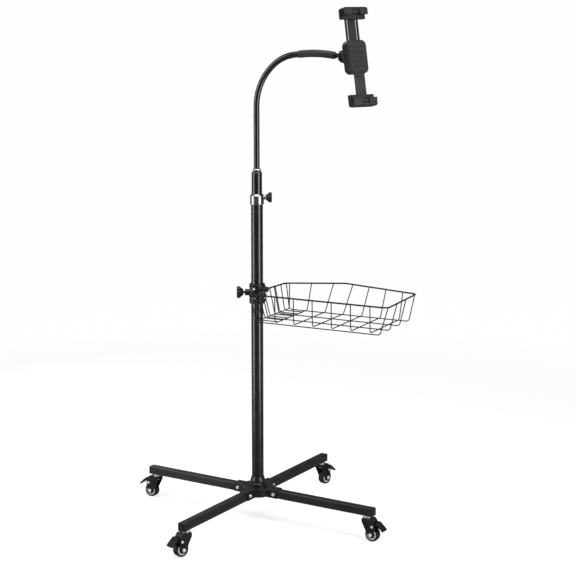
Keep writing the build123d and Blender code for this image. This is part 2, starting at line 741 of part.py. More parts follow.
# Ferrule on the sleeve's end, bored for the ball stud
grip_end = Plane(origin=grip_arc @ 1, x_dir=neck_side, z_dir=grip_arc % 1)
ferrule = turned(
    grip_end,
    [
        (STUD_NECK_RADIUS + RUNNING_FIT, 0),
        (GRIP_RADIUS - GRIP_ROUND, 0),
        (FERRULE_RADIUS - FERRULE_WALL / 2, FERRULE_LENGTH / 2),
        (FERRULE_NOSE_RADIUS, FERRULE_LENGTH),
        (STUD_NECK_RADIUS + RUNNING_FIT, FERRULE_LENGTH),
    ],
)
ferrule.label = "neck_end_ferrule"
export_step(ferrule, "parts/neck_end_ferrule.step")

# Ball stud: its shank turns in the ferrule
ball_plane = grip_end.offset(STUD_REACH)
ball_half_chord = sqrt(BALL_RADIUS**2 - STUD_NECK_RADIUS**2)
with BuildPart() as stud:
    with BuildSketch(profile_plane(ball_plane)):
        with BuildLine():
            stud_side = Polyline(
                (0, BALL_RADIUS),
                (0, -STUD_REACH),
                (STUD_NECK_RADIUS, -STUD_REACH),
                (STUD_NECK_RADIUS, -ball_half_chord),
            )
            ThreePointArc(stud_side @ 1, (BALL_RADIUS, 0), stud_side @ 0)
        make_face()
    revolve(axis=Axis(ball_plane.origin, ball_plane.z_dir))
stud.part.label = "ball_stud"
export_step(stud.part, "parts/ball_stud.step")

# Directions of the holder: its X runs along the jaws, its Y up the tablet, its Z to the front
yaw, lean = radians(HOLDER_YAW), radians(HOLDER_LEAN)
holder_front = Vector(sin(yaw) * cos(lean), -cos(yaw) * cos(lean), sin(lean))
holder_across = Vector(cos(yaw), sin(yaw), 0)
ball_frame = Plane(origin=ball_plane.origin, x_dir=holder_across, z_dir=holder_front)
holder_plane = Plane(
    origin=ball_frame.from_local_coords((0, -HOLDER_LIFT, HOLDER_STAND_OFF)),
    x_dir=holder_across,
    z_dir=holder_front,
)
# Plane of the holder's side view: its X runs up the tablet and its Y to the front
holder_side = Plane(
    origin=holder_plane.origin, x_dir=holder_plane.y_dir, z_dir=holder_plane.x_dir
)
front_axis = Axis(holder_plane.origin, holder_plane.z_dir)
body_back = -BACK_PAD_THICKNESS - BODY_DEPTH
boss_face = SOCKET_REACH - HOLDER_STAND_OFF

# Ball socket: a cup over the ball, a stepped body, a flange and a peg into the housing
socket_bore = BALL_RADIUS + RUNNING_FIT
socket_lip = sqrt(socket_bore**2 - SOCKET_MOUTH**2)
with BuildPart() as socket:
    with BuildSketch(profile_plane(ball_frame)):
        with BuildLine():
            socket_side = Polyline(
                (socket_lip, -SOCKET_MOUTH),
                (SOCKET_RADIUS, -SOCKET_MOUTH),
                (SOCKET_RADIUS, SOCKET_CUP),
                (SOCKET_SHOULDER_RADIUS, SOCKET_CUP + SOCKET_SHOULDER),
                (SOCKET_SHOULDER_RADIUS, SOCKET_REACH - SOCKET_FLANGE),
                (SOCKET_FLANGE_RADIUS, SOCKET_REACH - SOCKET_FLANGE),
                (SOCKET_FLANGE_RADIUS, SOCKET_REACH - RUNNING_FIT),
                (SOCKET_PEG_RADIUS, SOCKET_REACH - RUNNING_FIT),
                (SOCKET_PEG_RADIUS, SOCKET_REACH + SOCKET_PEG),
                (0, SOCKET_REACH + SOCKET_PEG),
                (0, socket_bore),
            )
            RadiusArc(socket_side @ 1, socket_side @ 0, socket_bore)
        make_face()
    revolve(axis=Axis(ball_frame.origin, ball_frame.z_dir))
socket.part.label = "ball_socket"
export_step(socket.part, "parts/ball_socket.step")

# Lock ring screwed round the cup, with finger lobes
with BuildPart() as ring:
    with BuildSketch(ball_frame.offset(SOCKET_CUP - RING_GAP - RING_HEIGHT)):
        Circle(RING_RADIUS)
        with PolarLocations(RING_RADIUS, RING_LOBES):
            Circle(RING_LOBE_RADIUS)
    extrude(amount=RING_HEIGHT)
    ring_front = ring.faces().sort_by(Axis(ball_frame.origin, ball_frame.z_dir))[-1]
    chamfer(ring_front.edges(), length=RING_EDGE)
    with BuildSketch(ball_frame):
        Circle(SOCKET_RADIUS + RUNNING_FIT)
    extrude(amount=2 * RING_HEIGHT, both=True, mode=Mode.SUBTRACT)
ring.part.label = "lock_ring"
export_step(ring.part, "parts/lock_ring.step")

# Housing behind the tablet: rounded block with a boss for the socket and ways for the slides
slide_back = -BACK_PAD_THICKNESS - SLIDE_DEPTH
half_body = BODY_LENGTH / 2
knob_spot = (0, LOCK_KNOB_PLACE)
with BuildPart() as housing:
    with BuildSketch(holder_plane.offset(body_back)):
        RectangleRounded(BODY_WIDTH, BODY_LENGTH, BODY_CORNER)
    extrude(amount=BODY_DEPTH)
    housing_back = housing.faces().sort_by(front_axis)[0]
    fillet(housing_back.edges(), radius=BODY_EDGE)
    with BuildSketch(holder_plane.offset(boss_face)):
        with Locations((0, HOLDER_LIFT)):
            Circle(BODY_BOSS_RADIUS)
    with BuildSketch(holder_plane.offset(body_back)):
        with Locations((0, HOLDER_LIFT)):
            Circle(BODY_BOSS_ROOT_RADIUS)
    loft()
    with BuildSketch(holder_plane.offset(boss_face)):
        with Locations((0, HOLDER_LIFT)):
            Circle(SOCKET_PEG_RADIUS + RUNNING_FIT)
    extrude(amount=SOCKET_PEG + RAIL_FIT, mode=Mode.SUBTRACT)
    # Slot for the tongue, two blind bores for the rails and a pocket for the lower strap
    with BuildSketch(holder_plane.offset(slide_back)):
        Rectangle(TONGUE_WIDTH + 2 * TONGUE_FIT, 2 * BODY_LENGTH)
    extrude(amount=TONGUE_THICKNESS / 2 + TONGUE_FIT, both=True, mode=Mode.SUBTRACT)
    rail_mouth = Plane(
        origin=holder_plane.from_local_coords((0, half_body, slide_back)),
        x_dir=holder_plane.x_dir,
        z_dir=holder_plane.y_dir,
    )
    with BuildSketch(rail_mouth):
        with GridLocations(RAIL_SPREAD, 0, 2, 1):
            Circle(RAIL_RADIUS + RAIL_FIT)
    extrude(amount=-RAIL_BORE, mode=Mode.SUBTRACT)
    with BuildSketch(holder_plane.offset(-BACK_PAD_THICKNESS)):
        with Locations((0, -half_body)):
            Rectangle(STRAP_WIDTH, STRAP_INSERT, align=(Align.CENTER, Align.MIN))
    extrude(amount=-STRAP_THICKNESS, mode=Mode.SUBTRACT)
    with BuildSketch(holder_plane.offset(body_back)):
        with Locations(knob_spot):
            Circle(SCREW_RADIUS + SCREW_FIT)
    extrude(amount=BODY_DEPTH - SLIDE_DEPTH, mode=Mode.SUBTRACT)
housing.part.label = "holder_body"
export_step(housing.part, "parts/holder_body.step")

# Rubber pad on the housing's front, with cross grooves
with BuildPart() as back_pad:
    with BuildSketch(holder_plane.offset(-BACK_PAD_THICKNESS)):
        RectangleRounded(
            BODY_WIDTH - BACK_PAD_MARGIN,
            BODY_LENGTH - BACK_PAD_MARGIN,
            BODY_CORNER - BACK_PAD_MARGIN / 2,
        )
    extrude(amount=BACK_PAD_THICKNESS)
    pad_front = back_pad.faces().sort_by(front_axis)[-1]
    fillet(pad_front.edges(), radius=PAD_EDGE)
    with BuildSketch(holder_plane):
        with GridLocations(0, BACK_PAD_PITCH, 1, BACK_PAD_GROOVES):
            Rectangle(BODY_WIDTH - 2 * BACK_PAD_MARGIN, BACK_PAD_GROOVE)
    extrude(amount=-BACK_PAD_GROOVE, mode=Mode.SUBTRACT)
back_pad.part.label = "back_pad"
export_step(back_pad.part, "parts/back_pad.step")


def jaw(side, rise):
    """One hooked jaw across the tablet's edge, side +1 above the tablet and -1 below it."""
    edge = JAW_OPENING / 2
    lip_face = TABLET_THICKNESS + PAD_THICKNESS
    lip_front = lip_face + JAW_LIP_THICKNESS
    outline = [
        (edge - JAW_BACK, -PAD_THICKNESS),
        (edge - JAW_BACK, -JAW_DEPTH_BEHIND),
        (edge + rise - JAW_BEVEL, -JAW_DEPTH_BEHIND),
        (edge + rise, JAW_BEVEL - JAW_DEPTH_BEHIND),
        (edge + rise, lip_front - JAW_BEVEL),
        (edge + rise - JAW_BEVEL, lip_front),
        (edge - JAW_LIP, lip_front),
        (edge - JAW_LIP, lip_face),
        (edge, lip_face),
        (edge, -PAD_THICKNESS),
    ]
    with BuildPart() as body:
        with BuildSketch(holder_side):
            with BuildLine():
                Polyline(*[(side * up, front) for up, front in outline], close=True)
            make_face()
        extrude(amount=JAW_WIDTH / 2, both=True)
        # Rounded outer corners
        corners = (
            body.edges()
            .filter_by(front_axis)
            .group_by(Axis(holder_plane.origin, side * holder_plane.y_dir))[-1]
        )
        fillet(corners, radius=JAW_CORNER)
        # Recess between the two fingers of the front lip
        with BuildSketch(holder_plane.offset(lip_face)):
            with Locations((0, side * (edge - JAW_LIP))):
                RectangleRounded(JAW_RECESS, 2 * (JAW_LIP + JAW_RECESS_RISE), JAW_EDGE)
        extrude(amount=2 * JAW_LIP_THICKNESS, mode=Mode.SUBTRACT)
        # Raised ridge in the recess
        ridge = Plane(
            origin=holder_plane.from_local_coords((0, side * (edge + JAW_RECESS_RISE / 2), lip_face)),
            x_dir=holder_plane.y_dir,
            z_dir=holder_plane.x_dir,
        )
        with BuildSketch(ridge):
            Circle(JAW_RIDGE_RADIUS)
        extrude(amount=JAW_RECESS / 2, both=True)
    return body.part


def jaw_pads(side):
    """Thin rubber pads on a jaw's floor, its back wall and its two fingers."""
    edge = JAW_OPENING / 2
    length = JAW_WIDTH - 2 * PAD_MARGIN
    finger = (JAW_WIDTH - JAW_RECESS) / 2
    with BuildPart() as pads:
        with BuildSketch(holder_plane.offset(-PAD_THICKNESS)):
            with Locations((0, side * (edge - JAW_BACK / 2 - PAD_THICKNESS / 2))):
                Rectangle(length, JAW_BACK - PAD_THICKNESS - PAD_EDGE)
        extrude(amount=PAD_THICKNESS)
        with BuildSketch(holder_plane):
            with Locations((0, side * (edge - PAD_THICKNESS / 2))):
                Rectangle(length, PAD_THICKNESS)
        extrude(amount=TABLET_THICKNESS)
        with BuildSketch(holder_plane.offset(TABLET_THICKNESS)):
            with Locations((0, side * (edge - JAW_LIP / 2))):
                with GridLocations(JAW_RECESS + finger, 0, 2, 1):
                    Rectangle(finger - 2 * PAD_MARGIN, JAW_LIP - PAD_EDGE)
        extrude(amount=PAD_THICKNESS)
    return pads.part


# Lower jaw, fixed to the housing by a flat strap
strap_end = JAW_OPENING / 2 - JAW_BACK
with BuildPart() as lower_jaw:
    add(jaw(-1, JAW_LOW_DROP))
    with BuildSketch(holder_plane.offset(-BACK_PAD_THICKNESS)):
        with Locations((0, -strap_end)):
            Rectangle(
                STRAP_WIDTH, strap_end - half_body + STRAP_INSERT, align=(Align.CENTER, Align.MIN)
            )
    extrude(amount=-STRAP_THICKNESS)
lower_jaw.part.label = "lower_jaw"
export_step(lower_jaw.part, "parts/lower_jaw.step")

lower_pads = jaw_pads(-1)
lower_pads.label = "lower_jaw_pads"
export_step(lower_pads, "parts/lower_jaw_pads.step")

# Upper jaw, with its tongue and two guide rails
with BuildPart() as upper_jaw:
    add(jaw(1, JAW_TOP_RISE))
    with BuildSketch(holder_plane.offset(slide_back)):
        with Locations((0, strap_end)):
            Rectangle(
                TONGUE_WIDTH, strap_end - half_body + TONGUE_INSERT, align=(Align.CENTER, Align.MAX)
            )
    extrude(amount=TONGUE_THICKNESS / 2, both=True)
    with BuildSketch(rail_mouth.offset(-RAIL_INSERT)):
        with GridLocations(RAIL_SPREAD, 0, 2, 1):
            Circle(RAIL_RADIUS)
    extrude(amount=RAIL_INSERT + strap_end - half_body)
upper_jaw.part.label = "upper_jaw"
export_step(upper_jaw.part, "parts/upper_jaw.step")

upper_pads = jaw_pads(1)
upper_pads.label = "upper_jaw_pads"
export_step(upper_pads, "parts/upper_jaw_pads.step")

# Small lobed knob on the housing's back, its screw just off the tongue
lock_face = holder_plane.offset(body_back - LOCK_KNOB_GAP)
lock_plane = Plane(
    origin=lock_face.from_local_coords((0, LOCK_KNOB_PLACE, 0)),
    x_dir=holder_plane.x_dir,
    z_dir=-holder_plane.z_dir,
)
lock_screw = slide_back - TONGUE_THICKNESS / 2 - TONGUE_FIT - SCREW_GAP - body_back + LOCK_KNOB_GAP
with BuildPart() as lock_knob:
    add(knob(lock_plane, LOCK_KNOB_RADIUS, LOCK_KNOB_HEIGHT, LOCK_KNOB_NECK_RADIUS, 0))
    with BuildSketch(lock_plane):
        Circle(SCREW_RADIUS)
    extrude(amount=-lock_screw)
lock_knob.part.label = "jaw_lock_knob"
export_step(lock_knob.part, "parts/jaw_lock_knob.step")


# Where the basket stands: its pole end passes the clamp on the bracket's side
basket_turn = radians(BASKET_AZIMUTH)
pole_end_turn = basket_turn - atan2(RIM_POLE_SHIFT, RIM_POLE_WIDTH)
clamp_out = Vector(cos(pole_end_turn), sin(pole_end_turn), 0)
clamp_along = Vector(-sin(pole_end_turn), cos(pole_end_turn), 0)
rim_distance = CLAMP_PAD_REACH + HOOK_THICKNESS + RIM_RADIUS
basket_corner = clamp_out * rim_distance - clamp_along * BASKET_PLACE
liner_radius = POLE_RADIUS + RUNNING_FIT + LINER_WALL
clamp_bottom = BASKET_RIM_HEIGHT - CLAMP_BOTTOM_DROP
clamp_top = BASKET_RIM_HEIGHT + CLAMP_TOP_RISE
clamp_knob_height = BASKET_RIM_HEIGHT - CLAMP_KNOB_DROP
hook_bottom = BASKET_RIM_HEIGHT - HOOK_DROP
hook_screw_height = BASKET_RIM_HEIGHT - HOOK_SCREW_DROP
shell_bottom = clamp_bottom + LINER_FLANGE + CLAMP_PLAY
shell_top = clamp_top - LINER_FLANGE - CLAMP_PLAY
clamp_plane = Plane(origin=(0, 0, 0), x_dir=clamp_out, z_dir=(0, 0, 1))

# Liner: plastic sleeve that slides on the pole, with a flange at each end
with BuildPart() as liner:
    with BuildSketch(Plane.XZ):
        with BuildLine():
            Polyline(
                (POLE_RADIUS + RUNNING_FIT, clamp_bottom),
                (CLAMP_RADIUS - LINER_FLANGE_EDGE, clamp_bottom),
                (CLAMP_RADIUS, clamp_bottom + LINER_FLANGE_EDGE),
                (CLAMP_RADIUS, clamp_bottom + LINER_FLANGE),
                (liner_radius, clamp_bottom + LINER_FLANGE),
                (liner_radius, clamp_top - LINER_FLANGE),
                (CLAMP_RADIUS, clamp_top - LINER_FLANGE),
                (CLAMP_RADIUS, clamp_top - LINER_FLANGE_EDGE),
                (CLAMP_RADIUS - LINER_FLANGE_EDGE, clamp_top),
                (POLE_RADIUS + RUNNING_FIT, clamp_top),
                close=True,
            )
        make_face()
    revolve(axis=Axis.Z)
liner.part.label = "basket_sleeve"
export_step(liner.part, "parts/basket_sleeve.step")


hook_spots = [
    Plane(
        origin=clamp_out * (CLAMP_PAD_REACH + HOOK_THICKNESS)
        + Vector(0, 0, hook_screw_height + end * HOOK_SCREW_PITCH / 2),
        x_dir=clamp_along,
        z_dir=clamp_out,
    )
    for end in (-1, 1)
]
screw_planes = [
    Plane(
        origin=clamp_along * (end * CLAMP_SCREW_PLACE)
        + Vector(0, 0, clamp_knob_height + rise * CLAMP_EAR_OFFSET),
        x_dir=clamp_along,
        z_dir=clamp_out,
    )
    for end in (-1, 1)
    for rise in (-1, 1)
]


def half_shell(side):
    """Half of the clamp with its screw ears: side +1 carries the bracket, -1 the knob."""
    half = clamp_plane.offset(shell_bottom)
    with BuildPart() as shell:
        with BuildSketch(half):
            Circle(CLAMP_RADIUS)
            with Locations((side * (CLAMP_SPLIT + CLAMP_EAR_THICKNESS) / 2, 0)):
                Rectangle(CLAMP_EAR_THICKNESS, 2 * CLAMP_EAR_REACH)
        extrude(amount=shell_top - shell_bottom)
        # Ears only at two heights
        with BuildSketch(clamp_plane.offset(clamp_knob_height)):
            Rectangle(2 * CLAMP_EAR_REACH, 2 * CLAMP_EAR_REACH)
            Circle(CLAMP_RADIUS, mode=Mode.SUBTRACT)
        extrude(
            amount=CLAMP_EAR_OFFSET - CLAMP_EAR_HEIGHT / 2, both=True, mode=Mode.SUBTRACT
        )
        if side > 0:
            with BuildSketch(half):
                Rectangle(CLAMP_PAD_REACH, CLAMP_PAD_WIDTH, align=(Align.MIN, Align.CENTER))
            extrude(amount=shell_top - shell_bottom)
            for spot in hook_spots:
                with BuildSketch(spot.offset(-HOOK_THICKNESS)):
                    Circle(HOOK_SCREW_RADIUS)
                extrude(amount=-HOOK_SCREW_DEPTH, mode=Mode.SUBTRACT)
        else:
            boss = Plane(
                origin=(0, 0, clamp_knob_height), x_dir=(0, 1, 0), z_dir=(-1, 0, 0)
            )
            with BuildSketch(boss.offset(liner_radius)):
                Circle(CLAMP_BOSS_RADIUS)
            extrude(amount=CLAMP_BOSS_REACH - liner_radius)
            chamfer(shell.faces().sort_by(Axis.X)[0].edges(), length=CLAMP_BOSS_EDGE)
            with BuildSketch(boss):
                Circle(SCREW_RADIUS + SCREW_FIT)
            extrude(amount=CLAMP_BOSS_REACH, mode=Mode.SUBTRACT)
        with BuildSketch(half):
            Circle(liner_radius + RUNNING_FIT)
            with Locations((side * CLAMP_SPLIT / 2, 0)):
                Rectangle(
                    2 * CLAMP_EAR_REACH,
                    3 * CLAMP_EAR_REACH,
                    align=(Align.MAX if side > 0 else Align.MIN, Align.CENTER),
                )
        extrude(amount=shell_top - shell_bottom, mode=Mode.SUBTRACT)
        for spot in screw_planes:
            with BuildSketch(spot):
                Circle(CLAMP_SCREW_RADIUS + SCREW_FIT)
            extrude(amount=CLAMP_EAR_REACH, both=True, mode=Mode.SUBTRACT)
    return shell.part


left_shell = half_shell(-1)
left_shell.label = "clamp_knob_half"
export_step(left_shell, "parts/clamp_knob_half.step")
right_shell = half_shell(1)
right_shell.label = "clamp_hook_half"
export_step(right_shell, "parts/clamp_hook_half.step")

# Four screws through the ears
ear_face = CLAMP_SPLIT / 2 + CLAMP_EAR_THICKNESS
with BuildPart() as clamp_screws:
    for spot in screw_planes:
        with BuildSketch(spot.offset(ear_face)):
            Circle(CLAMP_SCREW_HEAD_RADIUS)
        extrude(amount=CLAMP_SCREW_HEAD)
        with BuildSketch(spot.offset(-ear_face)):
            RegularPolygon(CLAMP_SCREW_HEAD_RADIUS, side_count=6)
        extrude(amount=-CLAMP_SCREW_HEAD)
        with BuildSketch(spot):
            Circle(CLAMP_SCREW_RADIUS)
        extrude(amount=ear_face, both=True)
clamp_screws.part.label = "clamp_screws"
export_step(clamp_screws.part, "parts/clamp_screws.step")

# Basket knob with its own screw, the tip just off the liner
knob_plane = Plane(origin=(0, 0, clamp_knob_height), x_dir=(0, 1, 0), z_dir=(-1, 0, 0))
with BuildPart() as basket_knob:
    add(
        knob(
            knob_plane.offset(BASKET_KNOB_START),
            BASKET_KNOB_RADIUS,
            BASKET_KNOB_LENGTH,
            BASKET_KNOB_NECK_RADIUS,
            0,
        )
    )
    with BuildSketch(knob_plane.offset(liner_radius + SCREW_GAP)):
        Circle(SCREW_RADIUS)
    extrude(amount=BASKET_KNOB_START - liner_radius - SCREW_GAP)
basket_knob.part.label = "basket_knob"
export_step(basket_knob.part, "parts/basket_knob.step")

# Hook bracket: a bent strip screwed to the clamp, its hook closed over the rim wire
hook_side = Plane(origin=(0, 0, 0), x_dir=clamp_out, z_dir=-clamp_along)
hook_back = CLAMP_PAD_REACH + HOOK_THICKNESS
hook_front = hook_back + 2 * RIM_RADIUS
hook_top = BASKET_RIM_HEIGHT + RIM_RADIUS + HOOK_THICKNESS
with BuildPart() as hook:
    with BuildSketch(hook_side):
        with BuildLine():
            Polyline(
                (CLAMP_PAD_REACH, hook_bottom),
                (hook_back, hook_bottom),
                (hook_back, BASKET_RIM_HEIGHT + RIM_RADIUS),
                (hook_front, BASKET_RIM_HEIGHT + RIM_RADIUS),
                (hook_front, hook_top - HOOK_NOSE),
                (hook_front + HOOK_THICKNESS, hook_top - HOOK_NOSE),
                (hook_front + HOOK_THICKNESS, hook_top - HOOK_ROUND),
                (hook_front + HOOK_THICKNESS - HOOK_ROUND, hook_top),
                (CLAMP_PAD_REACH + HOOK_ROUND, hook_top),
                (CLAMP_PAD_REACH, hook_top - HOOK_ROUND),
                close=True,
            )
        make_face()
    extrude(amount=HOOK_WIDTH / 2, both=True)
    for spot in hook_spots:
        with BuildSketch(spot):
            Circle(HOOK_SCREW_RADIUS)
        extrude(amount=-HOOK_THICKNESS, mode=Mode.SUBTRACT)
hook.part.label = "hook_bracket"
export_step(hook.part, "parts/hook_bracket.step")

# Two domed screws that hold the bracket on the clamp
with BuildPart() as hook_screws:
    for spot in hook_spots:
        with BuildSketch(spot):
            Circle(HOOK_SCREW_HEAD_RADIUS)
        extrude(amount=HOOK_SCREW_HEAD, taper=BOLT_HEAD_TAPER)
        with BuildSketch(spot):
            Circle(HOOK_SCREW_RADIUS)
        extrude(amount=-HOOK_THICKNESS - HOOK_SCREW_DEPTH)
hook_screws.part.label = "hook_screws"
export_step(hook_screws.part, "parts/hook_screws.step")

# Basket frame: its X runs along the near side, its Y towards the back
basket_plane = Plane(
    origin=basket_corner,
    x_dir=(cos(basket_turn), sin(basket_turn), 0),
    z_dir=(0, 0, 1),
)
floor_height = BASKET_RIM_HEIGHT - BASKET_DEPTH
rim_corners = [
    (0, 0),
    (RIM_LENGTH, 0),
    (RIM_END_PLACE, RIM_END_WIDTH),
    (RIM_BACK_PLACE, RIM_BACK_WIDTH),
    (RIM_POLE_SHIFT, RIM_POLE_WIDTH),
]


def rim_across(place):
    """Width of the rim's plan at a place along the near side."""
    if place < RIM_POLE_SHIFT:
        return place * RIM_POLE_WIDTH / RIM_POLE_SHIFT
    if place < RIM_BACK_PLACE:
        share = (place - RIM_POLE_SHIFT) / (RIM_BACK_PLACE - RIM_POLE_SHIFT)
        return RIM_POLE_WIDTH + share * (RIM_BACK_WIDTH - RIM_POLE_WIDTH)
    share = (place - RIM_BACK_PLACE) / (RIM_END_PLACE - RIM_BACK_PLACE)
    return RIM_BACK_WIDTH + share * (RIM_END_WIDTH - RIM_BACK_WIDTH)


def wire(corners, radius, bend, closed=False):
    """Round wire bent through corners given as (along, across, height) in the basket."""
    points = [
        basket_plane.from_local_coords((along, across, height))
        for along, across, height in corners
    ]
    with BuildLine() as path:
        FilletPolyline(*points, radius=bend, close=closed)
    start = path.wires()[0]
    with BuildPart() as strand:
        with BuildSketch(Plane(origin=start @ 0, z_dir=start % 0)):
            Circle(radius)
        sweep(path=start, transition=Transition.RIGHT)
    return strand.part


long_places = [
    FLOOR_FRONT + (FLOOR_BACK - FLOOR_FRONT) * number / (LONG_WIRES - 1)
    for number in range(LONG_WIRES)
]
cross_places = [FLOOR_START + CROSS_PITCH * number for number in range(CROSS_WIRES)]
cross_floor = floor_height + 2 * WIRE_RADIUS - WIRE_SINK
wires = [
    wire(
        [(along, across, BASKET_RIM_HEIGHT) for along, across in rim_corners],
        RIM_RADIUS,
        RIM_CORNER,
        closed=True,
    )
]
for across in long_places:
    pole_side = across * RIM_POLE_SHIFT / RIM_POLE_WIDTH
    far_side = RIM_LENGTH - across * (RIM_LENGTH - RIM_END_PLACE) / RIM_END_WIDTH
    wires.append(
        wire(
            [
                (pole_side, across, BASKET_RIM_HEIGHT),
                (FLOOR_START, across, floor_height),
                (FLOOR_END, across, floor_height),
                (far_side, across, BASKET_RIM_HEIGHT),
            ],
            WIRE_RADIUS,
            WIRE_CORNER,
        )
    )
for along in cross_places:
    wires.append(
        wire(
            [
                (along, 0, BASKET_RIM_HEIGHT),
                (along, FLOOR_FRONT, cross_floor),
                (along, FLOOR_BACK, cross_floor),
                (along, rim_across(along), BASKET_RIM_HEIGHT),
            ],
            WIRE_RADIUS,
            WIRE_CORNER,
        )
    )
for number in range(POLE_WIRES):
    across = POLE_WIRE_START + POLE_WIRE_PITCH * number
    wires.append(
        wire(
            [
                (across * RIM_POLE_SHIFT / RIM_POLE_WIDTH, across, BASKET_RIM_HEIGHT),
                (FLOOR_START, across, cross_floor),
                (FLOOR_START + CROSS_PITCH, across, cross_floor),
            ],
            WIRE_RADIUS,
            WIRE_CORNER,
        )
    )
with BuildPart() as basket:
    for strand in wires:
        add(strand)
basket.part.label = "wire_basket"
export_step(basket.part, "parts/wire_basket.step")


def caster_plane(side):
    """Frame of a caster at rest: origin on the axle, X along the trail, Z up."""
    place = Vector(cos(radians(LEG_AZIMUTHS[side])), sin(radians(LEG_AZIMUTHS[side])), 0)
    trail = Vector(cos(radians(TRAIL_AZIMUTHS[side])), sin(radians(TRAIL_AZIMUTHS[side])), 0)
    return Plane(
        origin=place * stem_place + trail * TRAIL + Vector(0, 0, WHEEL_RADIUS),
        x_dir=trail,
        z_dir=(0, 0, 1),
    )


slot_width = FORK_WIDTH - 2 * FORK_CHEEK
pedal_hub_width = slot_width - 2 * PEDAL_PLAY
for side in LEG_AZIMUTHS:
    frame = caster_plane(side)
    # Plane square to the axle: its X runs along the trail and its Y up
    profile = Plane(origin=frame.origin, x_dir=frame.x_dir, z_dir=-frame.y_dir)
    crown_top = frame.offset(FORK_TOP - WHEEL_RADIUS)
    crown_face = frame.offset(FORK_TOP - FORK_CROWN - WHEEL_RADIUS)

    # Fork: a crown round the stem and two cheeks down to the axle, with a rib on each
    with BuildPart() as fork:
        with BuildSketch(profile) as cheek:
            with BuildLine():
                Polyline(
                    *[(along * WHEEL_RADIUS, up * WHEEL_RADIUS) for along, up in CHEEK_SHARES],
                    close=True,
                )
            make_face()
            fillet(cheek.vertices().group_by(Axis.Z)[-1], radius=FORK_CORNER)
            Circle(FORK_NOSE_RADIUS)
        extrude(amount=FORK_WIDTH / 2, both=True)
        with BuildSketch(crown_face):
            with Locations((-TRAIL, 0)):
                Circle(FORK_HUB_RADIUS)
        extrude(amount=FORK_CROWN)
        with BuildSketch(profile):
            with Locations((0, FORK_TOP - FORK_CROWN - WHEEL_RADIUS)):
                Rectangle(4 * WHEEL_RADIUS, 4 * WHEEL_RADIUS, align=(Align.CENTER, Align.MAX))
        extrude(amount=slot_width / 2, both=True, mode=Mode.SUBTRACT)
        for face in (1, -1):
            with BuildSketch(profile.offset(face * FORK_WIDTH / 2)):
                for along, up in RIB_SHARES:
                    with BuildLine():
                        Polyline(
                            (along * WHEEL_RADIUS, up * WHEEL_RADIUS),
                            (along * WHEEL_RADIUS + RIB_WIDTH, up * WHEEL_RADIUS),
                            (RIB_WIDTH, FORK_NOSE_RADIUS - RIB_WIDTH),
                            (0, FORK_NOSE_RADIUS - RIB_WIDTH),
                            close=True,
                        )
                    make_face()
                Circle(FORK_NOSE_RADIUS)
            extrude(amount=face * RIB_RISE)
            with BuildSketch(profile.offset(face * FORK_WIDTH / 2)):
                with Locations(BRAKE_PIN_PLACE):
                    Circle(BRAKE_HEAD_RADIUS + RUNNING_FIT)
            extrude(amount=face * RIB_RISE, mode=Mode.SUBTRACT)
        with BuildSketch(profile) as holes:
            Circle(AXLE_RADIUS)
            with Locations(BRAKE_PIN_PLACE):
                Circle(BRAKE_PIN_RADIUS)
        extrude(amount=FORK_WIDTH, both=True, mode=Mode.SUBTRACT)
        with BuildSketch(crown_top):
            with Locations((-TRAIL, 0)):
                Circle(STEM_RADIUS + RUNNING_FIT)
        extrude(amount=-FORK_CROWN, mode=Mode.SUBTRACT)
    fork.part.label = f"caster_{side}_fork"
    export_step(fork.part, f"parts/caster_{side}_fork.step")

    # Wheel centre: a disc with a raised ring and a boss on each face
    with BuildPart() as wheel:
        with BuildSketch(profile):
            Circle(WHEEL_CORE_RADIUS)
        extrude(amount=WHEEL_CORE_WIDTH / 2, both=True)
        with BuildSketch(profile):
            Circle(WHEEL_RING_RADIUS)
            Circle(WHEEL_RING_RADIUS - WHEEL_RING_WALL, mode=Mode.SUBTRACT)
        extrude(amount=WHEEL_CORE_WIDTH / 2 + WHEEL_RING_RISE, both=True)
        with BuildSketch(profile):
            Circle(WHEEL_BOSS_RADIUS)
        extrude(amount=WHEEL_BOSS_WIDTH / 2, both=True)
        with BuildSketch(profile):
            Circle(AXLE_RADIUS + RUNNING_FIT)
        extrude(amount=WHEEL_BOSS_WIDTH, both=True, mode=Mode.SUBTRACT)
    wheel.part.label = f"caster_{side}_wheel"
    export_step(wheel.part, f"parts/caster_{side}_wheel.step")

    # Tyre, rounded at its edges
    with BuildPart() as tyre:
        with BuildSketch(profile):
            Circle(WHEEL_RADIUS)
        extrude(amount=WHEEL_WIDTH / 2, both=True)
        fillet(tyre.edges().filter_by(GeomType.CIRCLE), radius=TYRE_EDGE)
        with BuildSketch(profile):
            Circle(WHEEL_CORE_RADIUS)
        extrude(amount=WHEEL_WIDTH, both=True, mode=Mode.SUBTRACT)
    tyre.part.label = f"caster_{side}_tyre"
    export_step(tyre.part, f"parts/caster_{side}_tyre.step")

    # Axle and brake pin, headed on both sides of the fork
    with BuildPart() as axle:
        with BuildSketch(profile):
            Circle(AXLE_RADIUS)
            with Locations(BRAKE_PIN_PLACE):
                Circle(BRAKE_PIN_RADIUS)
        extrude(amount=FORK_WIDTH / 2 + RIB_RISE, both=True)
        for face in (1, -1):
            with BuildSketch(profile.offset(face * (FORK_WIDTH / 2 + RIB_RISE))):
                Circle(AXLE_HEAD_RADIUS)
            extrude(amount=face * AXLE_HEAD)
            nose = axle.faces().sort_by(Axis(profile.origin, face * profile.z_dir))[-1]
            chamfer(nose.edges(), length=AXLE_HEAD_EDGE)
            with BuildSketch(profile.offset(face * FORK_WIDTH / 2)):
                with Locations(BRAKE_PIN_PLACE):
                    Circle(BRAKE_HEAD_RADIUS)
            extrude(amount=face * BRAKE_HEAD)
    axle.part.label = f"caster_{side}_axle"
    export_step(axle.part, f"parts/caster_{side}_axle.step")

